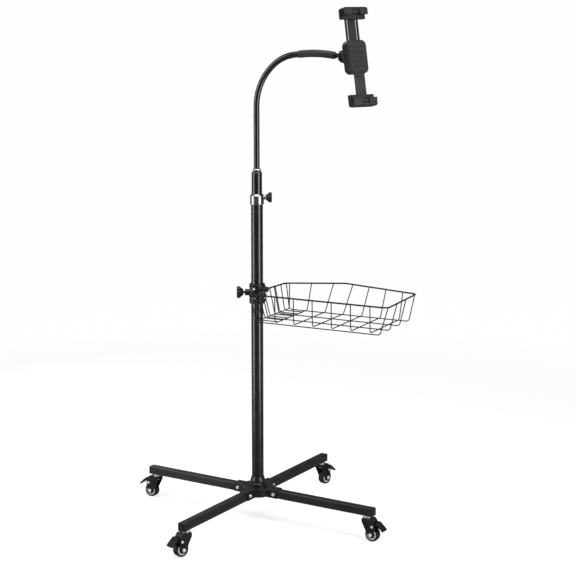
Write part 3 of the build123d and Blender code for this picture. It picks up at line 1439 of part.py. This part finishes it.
    # Brake pedal: a hub on the pin, a neck between the cheeks and a notched plate outside them
    pin_along, pin_up = BRAKE_PIN_PLACE
    top_along, top_up = PEDAL_TOP
    tip_along, tip_up = PEDAL_TIP
    slope = atan2(tip_up - top_up, tip_along - top_along)
    across_x, across_y = -sin(slope) * PEDAL_THICKNESS / 2, cos(slope) * PEDAL_THICKNESS / 2
    with BuildPart() as pedal:
        with BuildSketch(profile):
            with Locations(BRAKE_PIN_PLACE):
                Circle(PEDAL_HUB_RADIUS)
            with BuildLine():
                Polyline(
                    (pin_along, pin_up + PEDAL_HUB_RADIUS),
                    (pin_along + PEDAL_HUB_RADIUS, pin_up),
                    (top_along + PEDAL_ARM - across_x, top_up - PEDAL_ARM - across_y),
                    (top_along, top_up + across_y),
                    close=True,
                )
            make_face()
        extrude(amount=pedal_hub_width / 2, both=True)
        plate = Plane(
            origin=profile.from_local_coords((top_along, top_up, 0)),
            x_dir=profile.z_dir,
            z_dir=profile.x_dir * -sin(slope) + profile.y_dir * cos(slope),
        )
        reach = hypot(tip_along - top_along, tip_up - top_up)
        with BuildSketch(plate.offset(-PEDAL_THICKNESS / 2)) as pedal_plan:
            Rectangle(PEDAL_WIDTH, reach, align=(Align.CENTER, Align.MIN))
            fillet(pedal_plan.vertices(), radius=PEDAL_CORNER)
            Rectangle(PEDAL_NOTCH_WIDTH, PEDAL_NOTCH, mode=Mode.SUBTRACT)
        extrude(amount=PEDAL_THICKNESS)
        with BuildSketch(plate.offset(PEDAL_THICKNESS / 2)):
            with Locations((0, reach - PEDAL_LIP)):
                Rectangle(PEDAL_WIDTH - 2 * PEDAL_CORNER, PEDAL_LIP / 2)
        extrude(amount=PEDAL_LIP_RISE / 2)
        with BuildSketch(profile):
            with Locations(BRAKE_PIN_PLACE):
                Circle(BRAKE_PIN_RADIUS + RUNNING_FIT)
        extrude(amount=FORK_WIDTH, both=True, mode=Mode.SUBTRACT)
    pedal.part.label = f"caster_{side}_pedal"
    export_step(pedal.part, f"parts/caster_{side}_pedal.step")
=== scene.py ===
import json
from math import cos, pi, radians, sin

import bmesh
import bpy
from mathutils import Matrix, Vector


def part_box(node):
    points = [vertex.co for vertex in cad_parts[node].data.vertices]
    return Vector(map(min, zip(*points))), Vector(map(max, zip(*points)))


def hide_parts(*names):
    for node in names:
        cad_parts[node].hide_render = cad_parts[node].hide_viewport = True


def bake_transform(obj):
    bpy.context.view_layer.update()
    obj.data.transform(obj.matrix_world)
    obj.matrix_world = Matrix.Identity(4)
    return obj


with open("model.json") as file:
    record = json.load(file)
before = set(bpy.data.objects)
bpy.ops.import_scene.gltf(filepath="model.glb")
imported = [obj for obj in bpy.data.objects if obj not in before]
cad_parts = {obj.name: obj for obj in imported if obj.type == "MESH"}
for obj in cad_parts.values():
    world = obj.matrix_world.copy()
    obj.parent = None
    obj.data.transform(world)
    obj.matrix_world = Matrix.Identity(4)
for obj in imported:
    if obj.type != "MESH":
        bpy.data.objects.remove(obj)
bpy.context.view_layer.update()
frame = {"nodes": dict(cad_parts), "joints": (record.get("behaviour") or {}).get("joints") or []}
nodes = frame["nodes"]

MM = 0.001

# Camera: worked out from the poles, the legs and the basket in the photograph
CAMERA_PLACE = (82.4 * MM, -4114 * MM, 1428 * MM)
CAMERA_PITCH = 10.84
CAMERA_LENS = 98.1
SENSOR_WIDTH = 36

# Gooseneck: the same bends as in the solid
NECK_AZIMUTH = -22
NECK_RADIUS = 8 * MM
NECK_BEND_START = 1122 * MM
NECK_FIRST_BEND = 148 * MM
NECK_FIRST_ANGLE = 47
NECK_SECOND_BEND = 108 * MM
NECK_SECOND_ANGLE = 37
NECK_END_RUN = 20.7 * MM
NECK_STEP = 4 * MM
NECK_SIDES = 40
NECK_SINK = 0.05 * MM
ADAPTER_LIP_START = 956.4 * MM

# Room, in metres
FLOOR_REACH = 12
BACKDROP_PLACE = 6
BACKDROP_ROUND = 2
BACKDROP_STEPS = 12

# Lamps, in metres and watts: name, place, aim, power, width and height
STRIP_AIM = (0, 0, 1.13)
TOP_AIM = (0.08, 0, 0)
LAMPS = (
    ("left_strip", (-1.05, -0.38, 1.13), STRIP_AIM, 22, 0.4, 2.2),
    ("right_strip", (0.95, -0.8, 1.13), STRIP_AIM, 30, 0.42, 2.2),
    ("back_strip", (-0.9, 1.7, 1.3), STRIP_AIM, 14, 0.7, 2.0),
    ("top_box", (0.1, -0.5, 3.6), TOP_AIM, 138, 2.6, 2.6),
)
AMBIENT = 0.1

# Floor: how far it is lifted to white, and dimmed in reflections, near and far off
FLOOR_SHADES = ((0.86, 0.86, 0.86), (0.88, 0.88, 0.88))
FLOOR_ROUGHNESS = 0.9
FLOOR_CLOUDS = 2
NEAR_SHARE = 0.65
FAR_SHARE = 0.99
NEAR_DIM = 0.84
FAR_DIM = 0.5
SHARE_START = 0.7
SHARE_END = 2.4

# Finishes: two shades, roughness from the glossiest patch to the dullest, then the relief
# and, for a coat, its shine
BLACK_COAT = (((0.004, 0.004, 0.005), (0.008, 0.008, 0.009)), (0.32, 0.44), 0.2, 0.4)
POLE_COAT = (((0.002, 0.002, 0.003), (0.004, 0.004, 0.005)), (0.22, 0.3), 0.03, 0.5)
NECK_COAT = (((0.003, 0.003, 0.004), (0.005, 0.005, 0.006)), (0.17, 0.24), 0.015, 0.5)
WIRE_COAT = (((0.001, 0.001, 0.001), (0.003, 0.003, 0.003)), (0.26, 0.36), 0.12, 0.2)
PLASTIC = (((0.005, 0.005, 0.006), (0.009, 0.009, 0.010)), (0.3, 0.42), 0.2)
KNOB_PLASTIC = (((0.005, 0.005, 0.006), (0.010, 0.010, 0.011)), (0.24, 0.34), 0.14)
GRIP_RUBBER = (((0.010, 0.010, 0.011), (0.018, 0.018, 0.020)), (0.44, 0.56))
PAD_RUBBER = (((0.006, 0.006, 0.007), (0.012, 0.012, 0.013)), (0.6, 0.72))
TYRE_RUBBER = (((0.006, 0.006, 0.007), (0.013, 0.013, 0.014)), (0.4, 0.52))
COLLAR_STEEL = (((0.22, 0.22, 0.23), (0.34, 0.34, 0.35)), (0.22, 0.32), 0.12)
ADAPTER_COAT = (((0.003, 0.003, 0.004), (0.006, 0.006, 0.007)), (0.24, 0.34), 0.1)
ZINC_PLATE = (((0.66, 0.66, 0.67), (0.86, 0.86, 0.87)), (0.22, 0.42), 0.15)
WHEEL_PLASTIC = (((0.012, 0.012, 0.013), (0.022, 0.022, 0.024)), (0.24, 0.36), 0.12)
PLASTIC_SHINE = 0.2
RUBBER_RELIEF = 0.35
ADAPTER_LIP = (0.30, 0.30, 0.31)
ADAPTER_LIP_METAL = 0.6
ZINC_METAL = 0.7
WHEEL_RING = (0.82, 0.82, 0.83)
WHEEL_RING_METAL = 0.4

# Noise scales, in waves to the metre
COAT_CLOUDS = 14
COAT_GRAIN = 900
PLASTIC_CLOUDS = 40
PLASTIC_CELLS = 1400
RUBBER_BLOOM = 60
RUBBER_GRAIN = 1600
STEEL_TURNING = 40
STEEL_TURNING_STRETCH = (1, 1, 60)
STEEL_SMUDGE = 60
ADAPTER_CLOUDS = 60
ZINC_BLOTCH = 220
ZINC_GRAIN = 1200
WHEEL_CLOUDS = 90

# Where a noise's patches begin and end, between 0 and 1
SOFT_PATCHES = (0.3, 0.7)
RUBBER_PATCHES = (0.35, 0.75)
STEEL_PATCHES = (0.35, 0.65)
ZINC_PATCHES = (0.35, 0.7)

# Relief depths, and the raised ring on a wheel's side
RELIEF = 0.1 * MM
STEEL_RELIEF = 0.05 * MM
RING_INNER = 10.6 * MM
RING_OUTER = 13.6 * MM
RING_FACE = 7.8 * MM

SHARP_EDGE = 35


class Surface:
    """A node material built step by step round one Principled shader."""

    def __init__(self, name):
        self.material = bpy.data.materials.new(name)
        self.material.use_nodes = True
        self.tree = self.material.node_tree
        self.shader = self.tree.nodes["Principled BSDF"]
        self.place = self.tree.nodes.new("ShaderNodeTexCoord").outputs["Object"]

    def set(self, **values):
        """Sets shader sockets by name, with spaces written as underscores."""
        for name, value in values.items():
            self.shader.inputs[name.replace("_", " ")].default_value = value
        return self

    def node(self, kind, inputs=None, **settings):
        """Adds a node, sets it up and links or fills its inputs."""
        added = self.tree.nodes.new("ShaderNode" + kind)
        for name, value in settings.items():
            setattr(added, name, value)
        for name, value in (inputs or {}).items():
            if isinstance(value, bpy.types.NodeSocket):
                self.tree.links.new(value, added.inputs[name])
            else:
                added.inputs[name].default_value = value
        return added

    def math(self, operation, *values):
        """Result of one sum on numbers or sockets."""
        return self.node("Math", dict(enumerate(values)), operation=operation).outputs["Value"]

    def noise(self, scale, detail=3, roughness=0.5, stretch=(1, 1, 1)):
        """Noise over the object's own coordinates, drawn out by stretch."""
        mapped = self.node("Mapping", {"Vector": self.place, "Scale": stretch})
        return self.node(
            "TexNoise",
            {
                "Vector": mapped.outputs["Vector"],
                "Scale": scale,
                "Detail": detail,
                "Roughness": roughness,
            },
        ).outputs["Fac"]

    def ramp(self, source, low, high, start=0.0, end=1.0):
        """Number that runs from low to high as the source runs from start to end."""
        return self.node(
            "MapRange",
            {"Value": source, "From Min": start, "From Max": end, "To Min": low, "To Max": high},
        ).outputs["Result"]

    def mix(self, share, first, second):
        """Colour between two others."""
        mixed = self.node("Mix", data_type="RGBA")
        self.tree.links.new(share, mixed.inputs["Factor"])
        for socket, value in ((mixed.inputs[6], first), (mixed.inputs[7], second)):
            if isinstance(value, bpy.types.NodeSocket):
                self.tree.links.new(value, socket)
            else:
                socket.default_value = (*value, 1)
        return mixed.outputs[2]

    def color(self, source):
        self.tree.links.new(source, self.shader.inputs["Base Color"])
        return self

    def roughness(self, source):
        self.tree.links.new(source, self.shader.inputs["Roughness"])
        return self

    def metallic(self, source):
        self.tree.links.new(source, self.shader.inputs["Metallic"])
        return self

    def shade(self, noise, shades, patches=SOFT_PATCHES):
        """Colours the surface in patches of two shades."""
        return self.color(self.mix(self.ramp(noise, 0, 1, *patches), *shades))

    def gloss(self, noise, rough):
        """Varies the roughness over soft patches of a noise."""
        return self.roughness(self.ramp(noise, *rough, *SOFT_PATCHES))

    def bump(self, height, strength, distance=RELIEF):
        """Relief from a height, chained after any relief added before."""
        added = self.node("Bump", {"Height": height, "Strength": strength, "Distance": distance})
        normal = self.shader.inputs["Normal"]
        if normal.is_linked:
            self.tree.links.new(normal.links[0].from_socket, added.inputs["Normal"])
        self.tree.links.new(added.outputs["Normal"], normal)
        return self


def powder_coat(name, shades, rough, peel, shine):
    """Black coat on steel: a fine orange peel, faint cloudiness and patchy gloss."""
    coat = Surface(name)
    clouds = coat.noise(COAT_CLOUDS, 4)
    coat.shade(clouds, shades).gloss(clouds, rough)
    coat.bump(coat.noise(COAT_GRAIN, 2), peel)
    coat.set(Specular_IOR_Level=shine)
    return coat.material


def moulded_plastic(name, shades, rough, texture):
    """Moulded black plastic with a fine spark-eroded texture."""
    plastic = Surface(name)
    clouds = plastic.noise(PLASTIC_CLOUDS, 3)
    cells = plastic.node("TexVoronoi", {"Vector": plastic.place, "Scale": PLASTIC_CELLS})
    plastic.shade(clouds, shades).gloss(clouds, rough)
    plastic.bump(cells.outputs["Distance"], texture)
    plastic.set(Specular_IOR_Level=PLASTIC_SHINE)
    return plastic.material


def soft_rubber(name, shades, rough):
    """Matt rubber with a dusty bloom and a fine grain."""
    rubber = Surface(name)
    bloom = rubber.noise(RUBBER_BLOOM, 5, 0.65)
    rubber.shade(bloom, shades, RUBBER_PATCHES).gloss(bloom, rough)
    rubber.bump(rubber.noise(RUBBER_GRAIN, 2), RUBBER_RELIEF)
    rubber.set(Specular_IOR_Level=PLASTIC_SHINE)
    return rubber.material


def bright_steel(name, shades, rough, relief):
    """Turned steel: fine rings round the upright axis and soft smudges."""
    steel = Surface(name)
    turning = steel.noise(STEEL_TURNING, 4, 0.7, STEEL_TURNING_STRETCH)
    steel.shade(turning, shades, STEEL_PATCHES).gloss(steel.noise(STEEL_SMUDGE, 3), rough)
    steel.bump(turning, relief, STEEL_RELIEF)
    steel.set(Metallic=1.0)
    return steel.material


def lipped_coat(name, start, shades, rough, peel):
    """Black coat whose top lip, above a height, is left as bare bright metal."""
    coat = Surface(name)
    clouds = coat.noise(ADAPTER_CLOUDS, 3)
    height = coat.node("SeparateXYZ", {"Vector": coat.place}).outputs["Z"]
    bare = coat.math("GREATER_THAN", height, start)
    black = coat.mix(coat.ramp(clouds, 0, 1, *SOFT_PATCHES), *shades)
    coat.color(coat.mix(bare, black, ADAPTER_LIP)).gloss(clouds, rough)
    coat.metallic(coat.ramp(bare, 0.0, ADAPTER_LIP_METAL))
    coat.bump(coat.noise(COAT_GRAIN, 2), peel)
    return coat.material


def zinc_plate(name, shades, rough, relief):
    """Zinc plate on fasteners: pale, a little blotched, softly bright."""
    zinc = Surface(name)
    blotch = zinc.noise(ZINC_BLOTCH, 4, 0.6)
    zinc.shade(blotch, shades, ZINC_PATCHES).gloss(blotch, rough)
    zinc.bump(zinc.noise(ZINC_GRAIN, 2), relief)
    zinc.set(Metallic=ZINC_METAL)
    return zinc.material


def wheel_face(name, axle, across, shades, rough, relief):
    """Black wheel centre whose raised side ring is bright, found by its place on the wheel."""
    wheel = Surface(name)
    clouds = wheel.noise(WHEEL_CLOUDS, 3)
    arm = wheel.node("VectorMath", {0: wheel.place, 1: axle}, operation="SUBTRACT")
    arm = arm.outputs["Vector"]
    along = wheel.node("VectorMath", {0: arm, 1: across}, operation="DOT_PRODUCT").outputs["Value"]
    square = wheel.node("VectorMath", {0: arm, 1: arm}, operation="DOT_PRODUCT").outputs["Value"]
    depth = wheel.math("MULTIPLY", along, along)
    radius = wheel.math("POWER", wheel.math("SUBTRACT", square, depth), 0.5)
    outside = wheel.math("GREATER_THAN", radius, RING_INNER)
    inside = wheel.math("LESS_THAN", radius, RING_OUTER)
    raised = wheel.math("GREATER_THAN", wheel.math("ABSOLUTE", along), RING_FACE)
    ring = wheel.math("MULTIPLY", wheel.math("MULTIPLY", outside, inside), raised)
    black = wheel.mix(wheel.ramp(clouds, 0, 1, *SOFT_PATCHES), *shades)
    wheel.color(wheel.mix(ring, black, WHEEL_RING)).gloss(clouds, rough)
    wheel.metallic(wheel.ramp(ring, 0.0, WHEEL_RING_METAL))
    wheel.bump(wheel.noise(COAT_GRAIN, 2), relief)
    return wheel.material


def lattice_tube(name, centres, tangents, side, radius, material):
    """Tube skinned round a path that lies in one plane, with closed ends."""
    mesh = bpy.data.meshes.new(name)
    tube = bmesh.new()
    rings = []
    for centre, tangent in zip(centres, tangents):
        up = side.cross(tangent).normalized()
        rings.append(
            [
                tube.verts.new(
                    centre
                    + side * (radius * cos(2 * pi * step / NECK_SIDES))
                    + up * (radius * sin(2 * pi * step / NECK_SIDES))
                )
                for step in range(NECK_SIDES)
            ]
        )
    for lower, upper in zip(rings, rings[1:]):
        for step in range(NECK_SIDES):
            after = (step + 1) % NECK_SIDES
            tube.faces.new((lower[step], lower[after], upper[after], upper[step])).smooth = True
    tube.faces.new(rings[0][::-1])
    tube.faces.new(rings[-1])
    bmesh.ops.recalc_face_normals(tube, faces=tube.faces)
    tube.to_mesh(mesh)
    tube.free()
    made = bpy.data.objects.new(name, mesh)
    bpy.context.scene.collection.objects.link(made)
    made.data.materials.append(material)
    return made


def neck_path(root):
    """Centres and directions along the gooseneck, from its root to inside the sleeve."""
    turn = radians(NECK_AZIMUTH)
    out, up = Vector((cos(turn), sin(turn), 0)), Vector((0, 0, 1))
    centres, tangents = [], []
    bend, angle = Vector((0, 0, root)), 0.0
    for length, curve in (
        (NECK_BEND_START - root, 0),
        (NECK_FIRST_BEND * radians(NECK_FIRST_ANGLE), NECK_FIRST_BEND),
        (NECK_SECOND_BEND * radians(NECK_SECOND_ANGLE), NECK_SECOND_BEND),
        (NECK_END_RUN, 0),
    ):
        count = max(2, round(length / NECK_STEP))
        for step in range(0 if not centres else 1, count + 1):
            part = length * step / count
            if curve:
                new = angle + part / curve
                shift = out * curve * (cos(angle) - cos(new))
                shift += up * curve * (sin(new) - sin(angle))
            else:
                new = angle
                shift = (out * sin(angle) + up * cos(angle)) * part
            centres.append(bend + shift)
            tangents.append(out * sin(new) + up * cos(new))
        bend, angle = centres[-1], new
    side = Vector((sin(turn), -cos(turn), 0))
    return centres, tangents, side


def paint(names, material):
    """Gives CAD nodes one material."""
    for name in names:
        nodes[name].data.materials.clear()
        nodes[name].data.materials.append(material)


def smooth_shade():
    """Shades the CAD nodes smooth, and keeps their edges sharp."""
    for item in nodes.values():
        for face in item.data.polygons:
            face.use_smooth = True
        split = item.modifiers.new("edges", "EDGE_SPLIT")
        split.split_angle = radians(SHARP_EDGE)


SIDES = ("right", "rear", "left", "front")
coat = powder_coat("black_coat", *BLACK_COAT)
pole_coat = powder_coat("pole_coat", *POLE_COAT)
plastic = moulded_plastic("black_plastic", *PLASTIC)
knob_plastic = moulded_plastic("knob_plastic", *KNOB_PLASTIC)
neck_coat = powder_coat("neck_coat", *NECK_COAT)
grip_rubber = soft_rubber("grip_rubber", *GRIP_RUBBER)
pad_rubber = soft_rubber("pad_rubber", *PAD_RUBBER)
tyre_rubber = soft_rubber("tyre_rubber", *TYRE_RUBBER)
steel = bright_steel("collar_steel", *COLLAR_STEEL)
adapter_metal = lipped_coat("adapter_metal", ADAPTER_LIP_START, *ADAPTER_COAT)
zinc = zinc_plate("zinc", *ZINC_PLATE)
wire_coat = powder_coat("wire_coat", *WIRE_COAT)

paint(["hub_bracket", "hub_foot_socket", "hook_bracket"], coat)
paint([f"leg_{side}" for side in SIDES], coat)
paint(["lower_pole", "upper_pole"], pole_coat)
paint(["wire_basket"], wire_coat)
paint(["clamp_collar"], steel)
paint(["neck_adapter"], adapter_metal)
paint(["hub_center_bolt", "leg_bolts", "caster_stems", "collar_knob_screw"], zinc)
paint(["clamp_screws", "hook_screws"], zinc)
paint(["collar_knob", "basket_knob", "jaw_lock_knob"], knob_plastic)
paint(
    [
        "leg_end_caps",
        "pole_bushing",
        "pole_guide_plug",
        "neck_end_ferrule",
        "ball_stud",
        "ball_socket",
        "lock_ring",
        "holder_body",
        "lower_jaw",
        "upper_jaw",
        "basket_sleeve",
        "clamp_knob_half",
        "clamp_hook_half",
    ],
    plastic,
)
paint(["neck_grip_sleeve"], grip_rubber)
paint(["back_pad", "lower_jaw_pads", "upper_jaw_pads"], pad_rubber)
for side in SIDES:
    paint([f"caster_{side}_fork", f"caster_{side}_pedal"], plastic)
    paint([f"caster_{side}_tyre"], tyre_rubber)
    paint([f"caster_{side}_axle"], zinc)
    low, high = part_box(f"caster_{side}_tyre")
    axle = [(a + b) / 2 for a, b in zip(low, high)]
    joint = next(j for j in frame["joints"] if j["name"] == f"caster_{side}_roll")
    face = wheel_face(f"wheel_{side}", axle, joint["axis"], *WHEEL_PLASTIC)
    paint([f"caster_{side}_wheel"], face)

# Gooseneck, rebuilt finely as a smooth tube in place of the CAD node
neck_low, neck_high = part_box("gooseneck")
centres, tangents, side = neck_path(neck_low[2])
neck = lattice_tube("bending_neck", centres, tangents, side, NECK_RADIUS - NECK_SINK, neck_coat)
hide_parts("gooseneck")
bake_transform(neck)

smooth_shade()


def backdrop_material(name):
    """White studio floor: lifted to white for the camera, and dim in reflections."""
    surface = Surface(name)
    tree = surface.tree
    surface.set(Roughness=FLOOR_ROUGHNESS)
    clouds = surface.ramp(surface.noise(FLOOR_CLOUDS, 2), 0, 1)
    surface.color(surface.mix(clouds, *FLOOR_SHADES))
    white = surface.node("Emission", {"Color": (1, 1, 1, 1), "Strength": 1.0}).outputs["Emission"]
    black = surface.node("Emission", {"Color": (0, 0, 0, 1), "Strength": 0.0}).outputs["Emission"]
    path = surface.node("LightPath")
    away = surface.node("VectorMath", {0: surface.place}, operation="LENGTH").outputs["Value"]
    lift = surface.ramp(away, NEAR_SHARE, FAR_SHARE, SHARE_START, SHARE_END)
    dim = surface.ramp(away, NEAR_DIM, FAR_DIM, SHARE_START, SHARE_END)
    seen = surface.math("MULTIPLY", path.outputs["Is Camera Ray"], lift)
    mirrored = surface.math("MULTIPLY", path.outputs["Is Glossy Ray"], dim)
    dimmed = surface.node("MixShader", {0: mirrored, 1: surface.shader.outputs["BSDF"], 2: black})
    blend = surface.node("MixShader", {0: seen, 1: dimmed.outputs["Shader"], 2: white})
    tree.links.new(blend.outputs["Shader"], tree.nodes["Material Output"].inputs["Surface"])
    return surface.material


def build_floor():
    """Floor that curves up into a wall behind the object."""
    mesh = bpy.data.meshes.new("floor")
    sheet = bmesh.new()
    profile = [(-FLOOR_REACH, 0)]
    for step in range(BACKDROP_STEPS + 1):
        turn = pi / 2 * step / BACKDROP_STEPS
        out, up = BACKDROP_ROUND * sin(turn), BACKDROP_ROUND * (1 - cos(turn))
        profile.append((BACKDROP_PLACE + out, up))
    profile.append((BACKDROP_PLACE + BACKDROP_ROUND, FLOOR_REACH))
    rows = [
        [sheet.verts.new((side * FLOOR_REACH, y, z)) for side in (-1, 1)] for y, z in profile
    ]
    for lower, upper in zip(rows, rows[1:]):
        sheet.faces.new((lower[0], lower[1], upper[1], upper[0])).smooth = True
    sheet.to_mesh(mesh)
    sheet.free()
    floor = bpy.data.objects.new("floor", mesh)
    floor.data.materials.append(backdrop_material("studio_white"))
    bpy.context.scene.collection.objects.link(floor)


def build_lamp(name, place, aim, power, width, height):
    """Soft box aimed at the stand."""
    light = bpy.data.lights.new(name, "AREA")
    light.shape = "RECTANGLE"
    light.size, light.size_y = width, height
    light.energy = power
    lamp = bpy.data.objects.new(name, light)
    lamp.location = place
    lamp.rotation_euler = (Vector(aim) - Vector(place)).to_track_quat("-Z", "Y").to_euler()
    lamp.visible_camera = False
    bpy.context.scene.collection.objects.link(lamp)


def build_world():
    """Pale surround: white to the camera, softer as light."""
    world = bpy.data.worlds.new("studio")
    bpy.context.scene.world = world
    world.use_nodes = True
    tree = world.node_tree
    tree.nodes["Background"].inputs["Color"].default_value = (1, 1, 1, 1)
    path = tree.nodes.new("ShaderNodeLightPath")
    strength = tree.nodes.new("ShaderNodeMapRange")
    tree.links.new(path.outputs["Is Camera Ray"], strength.inputs["Value"])
    strength.inputs["To Min"].default_value = AMBIENT
    strength.inputs["To Max"].default_value = 1.0
    tree.links.new(strength.outputs["Result"], tree.nodes["Background"].inputs["Strength"])


def build_camera():
    """Camera at the photograph's place."""
    data = bpy.data.cameras.new("camera")
    data.sensor_width = SENSOR_WIDTH
    data.lens = CAMERA_LENS
    camera = bpy.data.objects.new("camera", data)
    camera.location = CAMERA_PLACE
    camera.rotation_euler = (radians(90 - CAMERA_PITCH), 0, 0)
    bpy.context.scene.collection.objects.link(camera)
    bpy.context.scene.camera = camera


build_floor()
for lamp in LAMPS:
    build_lamp(*lamp)
build_world()
build_camera()
bpy.context.scene.view_settings.view_transform = "Standard"
